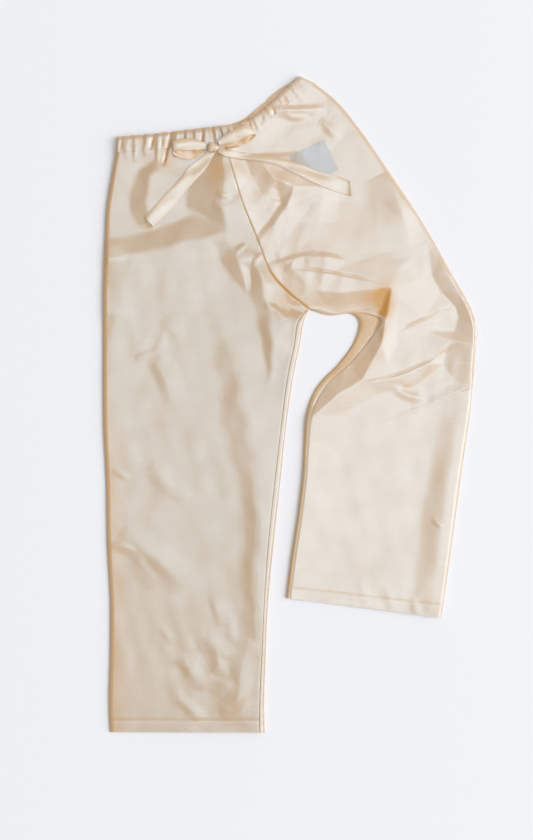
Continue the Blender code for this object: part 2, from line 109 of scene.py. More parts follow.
def noise(tree, where, scale, detail):
    sockets = {"Vector": where, "Scale": scale, "Detail": detail}
    return node(tree, "ShaderNodeTexNoise", sockets).outputs["Fac"]


def blend(tree, share, first, second):
    """The mix of two colours, each a value or another node's output."""
    sockets = {0: share, 6: first, 7: second}
    return node(tree, "ShaderNodeMix", sockets, data_type="RGBA").outputs[2]


def finish(name, constants):
    """A new material and its shader, with the values that are the same all over it."""
    made = bpy.data.materials.new(name)
    made.use_nodes = True
    shader = made.node_tree.nodes["Principled BSDF"]
    for socket, value in constants.items():
        shader.inputs[socket].default_value = value
    return made, made.node_tree, shader


paper, tree, shader = finish("matte studio paper", {"Roughness": 0.95, "Specular IOR Level": 0.1})
spot = node(tree, "ShaderNodeTexCoord").outputs["Object"]
tone = blend(tree, noise(tree, spot, 900.0, 2.0), linear("F1F5FE"), linear("F0F4FD"))
tree.links.new(tone, shader.inputs["Base Color"])

FLOOR_HALF = 9.0
FLOOR_LEVEL = -0.0002
SQUARE = ((-1, -1), (1, -1), (1, 1), (-1, 1))
ground = bpy.data.meshes.new("floor")
ground.from_pydata([(x * FLOOR_HALF, y * FLOOR_HALF, FLOOR_LEVEL) for x, y in SQUARE], [], [(0, 1, 2, 3)])
ground.materials.append(paper)
floor = put("floor", ground)

# The two back panels, one for each leg, of plain cream dupion silk. They lie on the floor, roll
# up round the legs' edges and meet the front at the side seam and at the inside leg seam.
WALL = 1.2
HEM_DEPTH = 21.0
HEM_WALL = 1.9
SEAM_GAP = 0.22
SIDE_ROLL = 7.5
INNER_ROLL = 4.0
LEAST_WRAP = 5.5
REST = 4.6
LOWEST = 3.7
FALL = 42.0
# How much higher each leg's wearer's-left edge lies than the other at the hem.
LEAN = 4.6
# Middle of the outline in the tables, which is the origin.
MIDDLE = (-0.47, 2.02)


def rows_in(text):
    """Rows of numbers, parted by semicolons or line ends. A line of words heads those below it."""
    rows = [row.split() for row in text.replace("\n", ";").split(";")]
    return [[float(cell) for cell in row] for row in rows if row and not row[0].isalpha()]


def facets(corners, creases):
    """Triangles between the corners that keep every crease as an edge, each as three points."""
    named = {}
    places = []
    for line in corners.strip().split("\n"):
        name, _, cells = line.partition(":")
        group = named.setdefault(name, [])
        for place in rows_in(cells):
            named[f"{name}_{'abcdefghijklmnop'[len(group)]}"] = [len(places)]
            group.append(len(places))
            places.append((*place, 0.0)[:3])
    edges = []
    for crease in creases.split(","):
        walk = sum([named[name] for name in crease.split()], [])
        edges += zip(walk, walk[1:])
    spots = [Vector(place[:2]) for place in places]
    flat, _, faces, source, _, _ = delaunay_2d_cdt(spots, edges, [], 0, 0.01)
    return [np.array([(*flat[i], places[source[i][0]][2]) for i in face]) for face in faces]


def columns(names, text):
    return dict(zip(names.split(), np.array(rows_in(text)).T))


# One row for each line across the hips, from casing to crotch. The centre is the middle seam,
# and sag bows the line across the left hip toward the hem.
HIPS = columns("right_x right_y centre_x centre_y left_x left_y right_lift left_lift sag", """
-300 434 -113 452 42 553 8 6 9; -308 391 -99 402 82 520 8.5 6.5 6; -316 340 -82 347 123 469 8 7 3
-319 285 -58 288 169 402 7.5 7.5 0; -321 230 -35 231 218 328 8.5 8 0
-322 195 -4 195 247 280 8.5 8 0; -322 161 32 166 271 236 8 8.5 0
""")

# One row for each line across a leg. wrap is how far the back panel comes over the inner edge.
LEG_COLUMNS = "outer_x outer_y inner_x inner_y wrap outer_lift inner_lift"
RIGHT_LEG = columns(LEG_COLUMNS, """
-322 140 22 144 9 6.5 8; -322 104 15 104 9 6 7; -322 44 3 44 9 6 7; -321 -42 -9 -42 8 5.5 6.5
-317 -128 -18 -128 9 5 6.5; -315 -231 -29 -231 9 5.5 6.5; -310 -335 -39 -335 6 5 6.5
-310 -421 -43 -421 6 5 6; -312 -507 -46 -507 7 5 5.6; -310 -562 -45 -562 9 5 5.6
""")
LEFT_LEG = columns(LEG_COLUMNS, """
288 207 68 156 6 7 6.8; 302 183 101 159 14 7 6.6; 314 157 118 147 36 7 6.6; 321 130 116 125 29 7 6.6
320 109 104 99 22 7 6.6; 317 85 80 68 19 7 6.6; 315 54 54 42 15 7 6.6; 312 23 37 15 12 7 6.6
309 -11 27 -20 8 8 7; 302 -59 24 -63 6 7.5 7; 293 -120 21 -121 5.5 7.5 7.5
283 -197 13 -188 5.5 7 7.5; 271 -283 2 -261 5.5 7 7; 259 -364 -7 -331 5.5 6.5 6.5
""")

# One row for each fold: a curved crest from start past bend to end, its height (a trough's is
# negative), how wide its slope is on the left and on the right looking from start to end, and
# how crisp its crest is, from 0, round, to 1, sharp.
FOLDS = rows_in("""
right hip
-250 321 -245 316 -238 310 1.2 6 6 0.8; -128 364 -114 360 -101 357 0.9 10 8 0.6
-134 350 -122 343 -108 336 0.8 8 12 0.6; -219 150 -205 135 -190 113 0.6 22 17 0.2
fork of the right leg
-96 262 -84 270 -76 280 1 8 7 0.7; -68 238 -58 250 -50 262 1 8 7 0.7
-44 175 -20 166 -8 147 1.5 8 12 0.8
right thigh and shin
-245 84 -214 60 -204 0 1.2 34 18 0.4; -266 78 -246 92 -222 96 0.7 10 12 0.6
-307 -111 -290 -118 -276 -125 0.8 8 10 0.7; -293 -218 -224 -266 -173 -314 2.2 36 32 0.2
-312 -240 -285 -235 -265 -255 0.9 8 20 0.6; -268 -252 -256 -290 -211 -314 0.8 14 26 0.4
-245 -104 -216 -135 -176 -163 0.8 30 22 0.3; -224 -378 -214 -395 -199 -412 0.4 14 10 0.2
-135 -326 -125 -350 -120 -380 0.6 22 12 0.3; -110 -340 -100 -375 -98 -410 0.4 12 14 0.3
-70 -400 -95 -470 -90 -550 1.8 24 54 0.4; -75 -465 -83 -510 -118 -534 1.3 18 22 0.4
-196 -432 -166 -452 -152 -492 0.9 20 16 0.2; -148 -392 -118 -416 -124 -466 1 22 16 0.3
-200 -500 -172 -518 -146 -550 0.8 18 14 0.3
left hip and belly
-42 508 13 505 61 512 2.6 10 16 0.7; -10 498 10 492 34 497 1.4 9 9 0.6
51 491 65 478 85 457 1.2 12 12 0.3; 165 402 199 329 207 257 4 30 62 0.4
54 395 59 353 51 316 2.4 30 40 0.3; -38 240 10 254 50 262 1.8 7 14 0.9
24 250 62 262 92 246 2 8 20 0.8; -10 230 0 238 9 245 1.2 7 7 0.7
left knee
184 128 236 150 280 172 -1.1 4 3 1; 126 40 200 48 298 112 -1 4 3 1; 2 236 70 233 168 207 -1.4 4 3 1
176 34 196 14 236 10 1.6 10 12 0.8
left shin
292 -4 264 -163 240 -358 2.7 26 40 0.1; 243 -195 252 -202 261 -209 1.2 6 6 0.7
120 -300 128 -325 130 -352 0.5 16 12 0.3; 158 -306 172 -328 175 -358 0.6 14 16 0.3
206 -328 216 -346 220 -368 0.8 12 12 0.4
""")
# The bent knee pushes the silk up into flat, crisp facets. Each line names a group of the corners
# between them, a, b, c and so on, and gives each one's place and its rise, unless that is 0. The
# creases are the sharp lines that join them. A group's name stands there for all its corners.
KNEE_FACETS = facets("""
rim: -26 262; 40 352; 150 352; 236 284
band: 257 250 0.8; 278 221 3.4; 300 185 4.4; 310 159 4.4; 316 133 4
side: 242 224; 257 195; 283 169; 287 154; 282 128 0.2; 298 120 1.8
cuff: 316 106 4.2; 315 72 4.2; 312 30 1.2
under: 270 96 0.2; 262 72 0.2; 284 42
rim: 196 -8; 110 -52; 34 -84; -6 -40; 0 60; 40 100; -6 176
lip: 6 235 3.2; 68 229 5.8; 124 219 7.2
peak: 173 205 9
crown: 188 238 5.6; 146 258 4.4; 224 218 3.4
fall: 4 218 1.9; 42 198 3.8; 92 193 5
edge: 32 156 -3.1; 78 155 -3.8; 114 152 -3.4
pocket: 148 140 -0.6
crook: 128 112 -3; 98 78 -3.8; 60 34 -3.1; 34 -4 -1.9
strip: 186 184 8; 187 140 5; 184 104 3.2
spine: 156 104 8.2; 141 78 6.2; 123 44 5.2; 80 18 4.2; 42 -16 1.8
dip: 166 72 4.6; 200 74 3.9; 212 104 3.6; 152 20 1.5; 88 -18 0.8; 216 34 0.8
line: 184 46 4; 240 73 4; 276 112 2.5
brow: 230 150 4; 270 167 1.5
hollow: 236 128 1.8
""", """
lip peak, fall peak, peak pocket crook, edge pocket, peak spine, peak strip spine_a,
spine_c line, strip_b brow, dip_a dip_b dip_c strip_c, dip_e dip_d dip_f, side, band cuff,
under
""")
# The cord pulls the right hip into soft facets of the same kind, down to the fork of the leg.
HIP_FACETS = facets("""
rim: -297 439; -242 439; -181 439; -96 450; -72 391; -52 329; -49 267; -25 207
rim: -1 164; -1 92; -39 23; -130 92; -224 92; -314 113; -317 242; -317 353
west: -224 426; -261 402; -278 367; -280 329; -262 307
ridge: -202 414 1.5; -238 398 4.2; -247 355 4.8; -242 316 2.4
mid: -180 395 0.9; -197 345 0.9
under: -152 424; -174 384; -180 340
crest: -118 427 5; -111 381 6.6; -116 345 5.8; -106 309 3.6
low: -317 285; -238 304; -176 324; -145 321 0.4
top: -316 247 2.4; -266 262 3.9; -204 273 4.3; -149 285 3.9; -111 297 3.6
spur: -128 274 1.5; -126 252 0.6; -106 223 0.3
knob: -101 280 3; -89 247 4.5; -75 209 2.4
fork: -75 230 0.3; -73 185 0.3; -56 150 0.3; -46 104 0.3; -37 61
wall: -59 254 2.4; -46 206 4.5; -39 161 2.4; -30 109 3.4; -30 64 1.2
""", "west, ridge, under low_c, crest, low crest_d, top, spur, knob, fork, wall")
# The left front has one deep tuck beside the middle seam, which points at the knot.
TUCK_FACETS = facets("""
rim: -87 426; 16 439; 68 371; 47 292; -18 247; -56 264; -82 329
bowl: -77 422; -66 388; -46 359; -20 355
tuck: -49 419 3.6; -25 391 5.2; 6 376 6.6
foot: -16 348 1; -35 319 0.2; -58 288
fold: -9 343 4.2; -28 314 2.8; -52 283 1.2
""", "bowl, tuck, tuck_c foot, tuck_c fold")
# One long, shallow fold runs down the inner half of the right leg.
LEG_FACETS = facets("""
rim: -190 144; -113 161; -59 130; -18 58; -22 -59; -25 -163; -32 -300; -39 -438
rim: -49 -507; -94 -507; -130 -403; -147 -231; -173 -59; -194 44
low: -152 123; -137 75; -123 23; -114 -34; -95 -111; -87 -197; -80 -300; -75 -421
top: -114 128 0.7; -92 75 2.2; -89 23 2.9; -75 -34 2.9; -59 -108 2.4; -58 -197 2.2; -59 -300 1.9
top: -56 -421 0.8
""", "low, top")
# Painted glow: where the silk is tucked deepest, light coming through it twice is painted into its
# colour as an orange glow. The place, how far the glow reaches each way, and how strong it is, from 0 to 1.
GLOWS = rows_in("""
162 178 15 30 1.3; 146 186 26 14 0.6; 160 136 7 26 0.6; 90 172 60 14 0.25; -4 186 16 16 0.8
60 158 70 8 0.35; -124 404 18 30 0.4; -30 398 22 18 0.22; -210 432 16 26 0.5; 110 84 46 40 0.25
""")
# Soft wrinkles of the hidden side, in the same columns as the folds.
BACK_FOLDS = rows_in("""
-280 380 -210 300 -150 240 1.5 30 24 0.2; -250 210 -190 180 -90 190 1.4 26 34 0.2
-300 60 -220 40 -150 -20 1.5 30 22 0.3; -100 60 -120 -60 -110 -200 1.4 24 30 0.1
-270 -120 -200 -180 -130 -210 1.5 26 20 0.4; -280 -300 -220 -380 -210 -480 1.4 30 22 0.2
-120 -330 -100 -430 -130 -520 1.5 22 26 0.3; -10 470 60 420 120 380 1.4 26 22 0.2
10 330 90 300 190 310 1.5 28 24 0.2; 110 240 180 215 270 200 1.5 24 20 0.4
150 130 220 110 300 90 1.5 22 26 0.4; 70 -20 150 -60 250 -60 1.4 26 22 0.3
60 -150 120 -220 130 -320 1.4 24 28 0.2
""")

# One row for each gather of the waist: its top, its foot on the panel, height and half width.
GATHERS = rows_in("""
-281 463 -282 424 0.9 8; -266 464 -268 418 1.4 6; -246 466 -251 428 1.3 7; -226 468 -229 418 1.5 6
-206 470 -219 412 -3.2 4; -195 470 -197 424 1.9 6; -179 472 -183 418 1.2 6; -164 476 -160 430 1.5 6
-147 477 -146 436 1.3 6; -130 479 -126 440 1.4 5; -104 482 -102 446 1.3 6; -84 490 -78 452 1.8 6
-66 504 -52 470 1.4 6; -46 524 -30 494 1.2 7; -24 541 -4 506 1 7; -2 556 22 522 0.8 8
""")

# Waist edge, from each side seam to the slit: the share of the way, the outline, and how far
# the back's edge stands out beyond the front's there.
WAIST_COLUMNS = "share edge_x edge_y beyond"
WAIST_RIGHT = columns(WAIST_COLUMNS, """
0 -297 461 0; 0.33 -240 466 0; 0.66 -180 473 0; 1 -121 480 0
""")
WAIST_LEFT = columns(WAIST_COLUMNS, """
0 16 565 0; 0.27 -22 541 8; 0.53 -53 514 9; 0.78 -84 490 5; 1 -121 480 0
""")
SIDES = ("right", "left")


def pair(table, name):
    return np.stack([table[name + "_x"], table[name + "_y"]], -1)


def along(values, place):
    """A smooth curve through the values, at each place counted in rows."""
    place = np.clip(place, 0, len(values) - 1)
    i = np.minimum(place.astype(int), len(values) - 2)
    f = place - i
    before = values[np.maximum(i - 1, 0)]
    here = values[i]
    after = values[i + 1]
    last = values[np.minimum(i + 2, len(values) - 1)]
    rise = (after - before) / 2
    fall = (last - here) / 2
    return (
        here * (2 * f**3 - 3 * f**2 + 1)
        + rise * (f**3 - 2 * f**2 + f)
        + after * (3 * f**2 - 2 * f**3)
        + fall * (f**3 - f**2)
    )


def ease(x):
    x = np.clip(x, 0, 1)
    return x * x * (3 - 2 * x)


def bell(x):
    return np.exp(-(x**2))


def crest(x, y, start, bend, end, height, left, right, crisp):
    """The height that one fold adds at each point."""
    steps = np.linspace(0, 1, 13)[:, None]
    line = (1 - steps) ** 2 * start + 2 * steps * (1 - steps) * bend + steps**2 * end
    total = np.zeros_like(x)
    margin = max(left, right)
    low, high = line.min(0) - margin, line.max(0) + margin
    near_it = (x > low[0]) & (x < high[0]) & (y > low[1]) & (y < high[1])
    if not near_it.any():
        return total
    heading = np.diff(line, axis=0)
    length = np.hypot(*heading.T)
    east, north = (heading / length[:, None]).T
    dx = x[near_it][:, None] - line[:-1, 0]
    dy = y[near_it][:, None] - line[:-1, 1]
    reached = np.clip(dx * east + dy * north, 0, length)
    off_x = dx - reached * east
    off_y = dy - reached * north
    off = np.hypot(off_x, off_y)
    near = np.argmin(off, axis=1)[:, None]
    found = (off, east * off_y - north * off_x, reached / length)
    gap, aside, done = (np.take_along_axis(value, near, 1)[:, 0] for value in found)
    turned = aside / np.maximum(gap, 1e-6)
    done = (near[:, 0] + done) / len(length)
    reach = right + (left - right) * ease((turned + 1) / 2)
    share = np.clip(1 - gap / reach, 0, 1)
    plane = (np.sqrt(share * share + 0.018) - 0.1342) / 0.8748
    profile = ease(share) * (1 - crisp) + plane * crisp
    total[near_it] = height * np.sin(np.pi * np.clip(done, 0, 1)) ** 0.8 * profile
    return total


def folds(x, y, table):
    total = np.zeros_like(x)
    for row in table:
        start, bend, end = np.array(row[:6], float).reshape(3, 2)
        total += crest(x, y, start, bend, end, *row[6:])
    return total


def gathers(x, y):
    total = np.zeros_like(x)
    for row in GATHERS:
        top, foot = np.array(row[:4], float).reshape(2, 2)
        top = top - 0.35 * (foot - top)
        total += crest(x, y, top, (top + foot) / 2, foot, row[4], row[5], row[5], 0.3)
    return total


CREASE_ROUNDS = 6


def faceted(x, y, triangles, soft, wander):
    """The rise of flat facets, with creases that are rounded and wander by a few millimetres."""
    total = np.zeros_like(x)
    low = np.min([t[:, :2].min(0) for t in triangles], axis=0)
    high = np.max([t[:, :2].max(0) for t in triangles], axis=0)
    near = (x > low[0]) & (x < high[0]) & (y > low[1]) & (y < high[1])
    if not near.any():
        return total
    x, y = x[near], y[near]
    px = x + wander * (np.sin(y / 31 + x / 47) + 0.4 * np.sin(y / 8.3 + x / 17))
    py = y + wander * (np.sin(x / 27 - y / 39) + 0.4 * np.sin(x / 9.1 - y / 15))
    for k in range(CREASE_ROUNDS):
        qx = px + soft * math.cos(2 * math.pi * k / CREASE_ROUNDS)
        qy = py + soft * math.sin(2 * math.pi * k / CREASE_ROUNDS)
        rise = np.zeros_like(qx)
        for (ax, ay, az), (bx, by, bz), (cx, cy, cz) in triangles:
            whole = (bx - ax) * (cy - ay) - (cx - ax) * (by - ay)
            fb = ((qx - ax) * (cy - ay) - (cx - ax) * (qy - ay)) / whole
            fc = ((bx - ax) * (qy - ay) - (qx - ax) * (by - ay)) / whole
            inside = (fb >= 0) & (fc >= 0) & (fb + fc <= 1)
            rise[inside] = (az + (bz - az) * fb + (cz - az) * fc)[inside]
        total[near] += rise / CREASE_ROUNDS
    return total


RIPPLES = np.random.default_rng(11).uniform(size=(22, 4))


def rumple(x, y):
    """The faint unevenness that handled silk keeps everywhere."""
    total = np.zeros_like(x)
    for turn, span, start, deep in RIPPLES:
        length = 34 + 110 * span
        phase = (x * math.cos(turn * math.pi) + y * math.sin(turn * math.pi)) / length
        bend = 0.6 * np.sin((x * 0.011 + y * 0.013) * (1 + span) + start * 9)
        total += (0.02 + 0.0006 * length * deep) * np.sin(2 * math.pi * (phase + start) + bend)
    return total


# Where the silk has been pulled or crushed into small sharp creases: place, reach and strength.
CRINKLED = rows_in("""
-50 345 70 80 0.9; 45 480 60 45 0.8; -140 -460 75 75 0.9; 230 40 70 60 0.6; -225 95 55 50 0.5
60 225 60 36 0.7; 170 -335 90 25 0.6
""")


def patches(x, y, table):
    """The sum of soft patches, each with its place, its reach each way and its strength."""
    total = np.zeros_like(x)
    for at_x, at_y, reach_x, reach_y, strength in table:
        total += strength * np.exp(-(((x - at_x) / reach_x) ** 2) - ((y - at_y) / reach_y) ** 2)
    return total


def crinkle(x, y):
    """Small, irregular ridges and valleys that cross one another where the silk is crushed."""
    total = np.zeros_like(x)
    for i, (turn, span, start, deep) in enumerate(RIPPLES[:8]):
        across = (x * math.cos(turn * math.pi) + y * math.sin(turn * math.pi)) / (27 + 24 * span)
        wander = 1.3 * np.sin(x / 41 + start * 6) + 1.1 * np.sin(y / 33 + deep * 9)
        total += (0.6 - np.abs(np.sin(math.pi * across + wander))) * (0.26 if i % 3 else -0.26)
    return total * patches(x, y, CRINKLED)


def waist_edge(side, share, front):
    """Points of the waist edge at these shares of the way from the side seam to the slit."""
    waist = WAIST_RIGHT if side == "right" else WAIST_LEFT
    place = np.interp(share, waist["share"], np.arange(len(waist["share"])))
    bent = {name: along(values, place) for name, values in waist.items()}
    return pair(bent, "edge") + bent["beyond"][..., None] * front * np.array((0.6, -0.8))


SHARES = np.linspace(0, 1, 31)
WAIST_LINE = np.vstack([waist_edge(side, SHARES, False) for side in SIDES])


def puff(x, y):
    """The casing's cord and gathers hold the waist a little higher."""
    near = np.hypot(x[..., None] - WAIST_LINE[:, 0], y[..., None] - WAIST_LINE[:, 1])
    return 3.0 * ease(1 - (np.min(near, axis=-1) - 20) / 45)


def front_height(x, y, u, line):
    """Middle surface of the front: at rest, raised by folds and toward both edges."""
    z = REST + puff(x, y) + folds(x, y, FOLDS) + gathers(x, y) + rumple(x, y) + crinkle(x, y)
    z = z + faceted(x, y, KNEE_FACETS, 2.0, 0.8) + faceted(x, y, HIP_FACETS, 4.0, 2.2)
    west = np.minimum(line["outer_x"], line["inner_x"])
    z = z + LEAN * ease(1 - line["to_hem"] / 560) * (x - west) / line["width"]
    z = z + faceted(x, y, TUCK_FACETS, 2.0, 1.6) + faceted(x, y, LEG_FACETS, 8.0, 3.0)
    z = z + (line["outer_lift"] - REST) * bell(u / FALL)
    z = z + (line["inner_lift"] - REST) * bell((line["width"] - u) / FALL)
    return np.maximum(z, LOWEST)


def lines(side, step):
    """Lines across one leg from casing to hem, as arrays with one row for each line."""
    leg = dict(RIGHT_LEG if side == "right" else LEFT_LEG)
    leg["sag"] = leg["wrap"] * 0
    lift = HIPS[side + "_lift"]
    hip = {"outer_x": HIPS[side + "_x"], "outer_y": HIPS[side + "_y"], "outer_lift": lift}
    hip.update(inner_x=HIPS["centre_x"], inner_y=HIPS["centre_y"], inner_lift=lift * 0 + REST)
    hip.update(wrap=lift * 0, sag=HIPS["sag"] * (side == "left"))
    whole = {name: np.hstack([values, leg[name]]) for name, values in hip.items()}
    runs = [np.hypot(*np.diff(pair(whole, edge), axis=0).T) for edge in ("outer", "inner")]
    counts = np.maximum(1, np.ceil(np.maximum(*runs) / step)).astype(int)
    counts[-1] += counts.sum() % 2
    place = np.hstack([i + np.arange(n) / n for i, n in enumerate(counts)] + [[len(counts)]])
    made = {name: along(values, place) for name, values in whole.items()}
    crotch = len(lift) - 1
    is_leg = place > crotch + 0.001
    for axis in ("x", "y"):
        seam = HIPS["centre_" + axis]
        down = along(np.append(seam[-1], leg["inner_" + axis]), place - crotch)
        made["inner_" + axis] = np.where(is_leg, down, along(seam, place))
    made["outer"] = pair(made, "outer")
    reach = pair(made, "inner") - made["outer"]
    made["width"] = np.hypot(*reach.T)
    made["unit"] = reach / made["width"][:, None]
    least = LEAST_WRAP * ease((place - crotch) / 0.4)
    made["wrap"] = np.where(is_leg, np.maximum(made["wrap"], least), 0)
    made["closed"] = ease(place - crotch + 1.0)
    made["leg"] = is_leg
    steps = np.hypot(*np.diff(made["outer"], axis=0).T)
    walked = np.hstack([[0], np.cumsum(steps)])
    made["to_hem"] = walked[-1] - walked
    return made


def stretch(line):
    """The columns of a line table, ready to meet a grid of points."""
    return {name: values[:, None] for name, values in line.items() if values.ndim == 1}


def section(line, u, bowed=True):
    """Points at the distances u along each line, bowed toward the hem where it sags."""
    unit = line["unit"]
    across = np.stack([unit[:, 1], -unit[:, 0]], -1)
    across = np.where(across[:, 1:] > 0, -across, across)
    f = u / line["width"][:, None]
    bow = 6.75 * line["sag"][:, None] * (1 - f) * f * f if bowed else f * 0
    return line["outer"][:, None] + unit[:, None] * u[..., None] + across[:, None] * bow[..., None]


SHARP_DEGREES = 62
HOLLOW_ROUNDS = 8


def normals(grid):
    rows = np.gradient(grid, axis=0, edge_order=2)
    across = np.gradient(grid, axis=1, edge_order=2)
    normal = np.cross(rows, across)
    return normal / np.maximum(np.linalg.norm(normal, axis=2, keepdims=True), 1e-9)


def piece(name, points, faces, look, weave, crease):
    """An object from points in table millimetres. weave is each point's place on the flat cloth,
    and crease is how much painted shade and painted glow it takes, from 0 to 1."""
    mesh = bpy.data.meshes.new(name)
    mesh.from_pydata(((points - (*MIDDLE, 0.0)) * MM).tolist(), [], faces)
    mesh.shade_smooth()
    mesh.set_sharp_from_angle(angle=math.radians(SHARP_DEGREES))
    flat = np.zeros((len(points), 3), np.float32)
    flat[:, :2] = weave * MM
    mesh.attributes.new("weave", "FLOAT_VECTOR", "POINT").data.foreach_set("vector", flat.ravel())
    mesh.attributes.new("crease", "FLOAT", "POINT").data.foreach_set("value", crease.astype(np.float32))
    mesh.materials.append(look)
    return put(name, mesh)


def quads(number):
    """The faces between the points of a grid of point numbers."""
    corners = [number[:-1, :-1], number[:-1, 1:], number[1:, 1:], number[1:, :-1]]
    return np.stack(corners, -1).reshape(-1, 4)


def hollow(z, reach):
    """How far each point lies below the cloth round it, from 0 to 1."""
    around = z
    for _ in range(reach):
        padded = np.pad(around, 1, mode="edge")
        around = (padded[:-2, 1:-1] + padded[2:, 1:-1] + padded[1:-1, :-2] + padded[1:-1, 2:]) / 4
    return np.clip((around - z - 0.12) / 1.2, 0, 1)


def shell(name, grid, wall, outward, look, painted_hollow_shade=0.0, seam=0.0, painted_lining_shade=0.0):
    """A closed sheet of cloth with half as fine a lining, and the grid of its outer face. The
    grid has an odd number of rows and of columns."""
    thick = np.broadcast_to(np.asarray(wall, float), grid.shape[:2])[..., None]
    normal = normals(grid)
    flip = normal[..., 2].mean() * outward < 0
    if flip:
        normal = -normal
    outside = grid + normal * thick.min() / 2
    inside = outside - normal * thick
    rows, across = grid.shape[:2]
    number = np.arange(rows * across).reshape(rows, across)
    lining = np.arange(inside[::2, ::2, 0].size).reshape(inside[::2, ::2, 0].shape) + rows * across
    faces = quads(number).tolist() + quads(lining)[:, [0, 3, 2, 1]].tolist()
    outer, inner = (
        np.hstack([m[0], m[1:, -1], m[-1, -2::-1], m[-2::-1, 0]]).tolist() for m in (number, lining)
    )
    for i in range(len(inner) - 1):
        faces.append((outer[2 * i + 2], outer[2 * i + 1], outer[2 * i], inner[i], inner[i + 1]))
    if not flip:
        faces = [face[::-1] for face in faces]
    side = np.linalg.norm(np.diff(grid, axis=1), axis=2)
    down = np.linalg.norm(np.diff(grid, axis=0), axis=2).mean(1)
    u = np.hstack([np.zeros((rows, 1)), np.cumsum(side, axis=1)])
    v = np.broadcast_to(np.hstack([[0], np.cumsum(down)])[:, None], u.shape)
    flat = np.stack([u, v], -1)
    weave = np.vstack([flat.reshape(-1, 2), flat[::2, ::2].reshape(-1, 2)])
    points = np.vstack([outside.reshape(-1, 3), inside[::2, ::2].reshape(-1, 3)])
    # Painted shade and painted glow: the colour deepens in the cloth's hollows by the share given and at the
    # tucked patches, seam adds painted shade along seams and edges, and the lining can take more painted
    # shade.
    deep = hollow(grid[..., 2], HOLLOW_ROUNDS) + patches(grid[..., 0], grid[..., 1], GLOWS)
    crease = np.clip(deep * painted_hollow_shade + seam, 0, 1)
    crease = np.hstack([crease.ravel(), np.clip(crease[::2, ::2] + painted_lining_shade, 0, 1).ravel()])
    return piece(name, points, faces, look, weave, crease), outside


# Dupion silk: filament yarns with a soft satin gloss, and thicker slubs in the weft that run
# across the leg. The yarns are 0.3 mm apart, drawn at 0.8 mm so that they show.
YARN_MM = 0.8
SLUB_LONG_MM = 46.0
SLUB_THICK_MM = 1.7
# How much of the painted glow's orange, which also serves as painted shade, the deepest crease takes.
GLOW_SHARE = 0.92


def calc(tree, operation, *values):
    return node(tree, "ShaderNodeMath", dict(enumerate(values)), operation=operation).outputs[0]


def spread(tree, value, *ends):
    """A value taken from one range, low and high, to another."""
    return node(tree, "ShaderNodeMapRange", dict(enumerate((value, *ends)))).outputs[0]


def bands(tree, vector, scale, distortion, way):
    sockets = {"Vector": vector, "Scale": scale, "Distortion": distortion}
    return node(tree, "ShaderNodeTexWave", sockets, bands_direction=way).outputs["Fac"]


def dupion(name, pale, deep, label_patch=False):
    shine = {"IOR": 1.66, "Specular IOR Level": 1.0, "Specular Tint": (0.46, 0.78, 1.0, 1.0)}
    sheen = {"Sheen Weight": 0.12, "Sheen Roughness": 0.45, "Sheen Tint": (0.9, 0.95, 1.0, 1.0)}
    look, tree, shader = finish(name, {**shine, **sheen})
    weave = node(tree, "ShaderNodeAttribute", attribute_name="weave").outputs["Vector"]
    scale = (1000 / SLUB_LONG_MM, 1000 / SLUB_THICK_MM, 1)
    across = node(tree, "ShaderNodeMapping", {"Vector": weave, "Scale": scale}).outputs[0]
    slub = noise(tree, across, 1.0, 3.0)
    yarns = 1000 / YARN_MM / 6.283
    warp = bands(tree, weave, yarns, 0.4, "X")
    weft = bands(tree, weave, yarns, 0.8, "Y")
    spot = node(tree, "ShaderNodeTexCoord").outputs["Object"]
    cloud = noise(tree, spot, 22.0, 3.0)
    tone = blend(tree, cloud, linear(pale), linear(deep))
    colour = blend(tree, spread(tree, slub, 0.52, 0.74, 0.0, 0.6), tone, linear(deep))
    if label_patch:
        colour = seen_label(tree, spot, colour)
    # Painted shade and painted glow: the crease attribute mixes an orange into the colour in hollows, along
    # seams and edges, and where the silk is tucked deepest.
    crease = node(tree, "ShaderNodeAttribute", attribute_name="crease").outputs["Fac"]
    glow = calc(tree, "MULTIPLY", crease, GLOW_SHARE)
    colour = blend(tree, glow, colour, linear("DC9E38"))
    tree.links.new(colour, shader.inputs["Base Color"])
    tree.links.new(spread(tree, cloud, 0.3, 0.7, 0.2, 0.26), shader.inputs["Roughness"])
    yarn = calc(tree, "ADD", warp, weft)
    fine = node(tree, "ShaderNodeBump", {"Strength": 0.35, "Distance": 0.00006, "Height": yarn})
    sockets = {"Strength": 0.5, "Distance": 0.00022, "Height": slub, "Normal": fine.outputs[0]}
    raised = node(tree, "ShaderNodeBump", sockets)
    tree.links.new(raised.outputs[0], shader.inputs["Normal"])
    return look


# One silk in three tones: this plain one; a darker copy for the right leg, which is painted shade; and
# further on a lighter copy for the left front, which is painted light.
silk = dupion("cream dupion silk", "DCC7AB", "D3BA98")
shaded_silk = dupion("cream dupion silk, painted shade", "D3B89B", "CBAD8C")


def front_wall(line):
    return np.where(line["to_hem"] < HEM_DEPTH, HEM_WALL, WALL)[:, None]


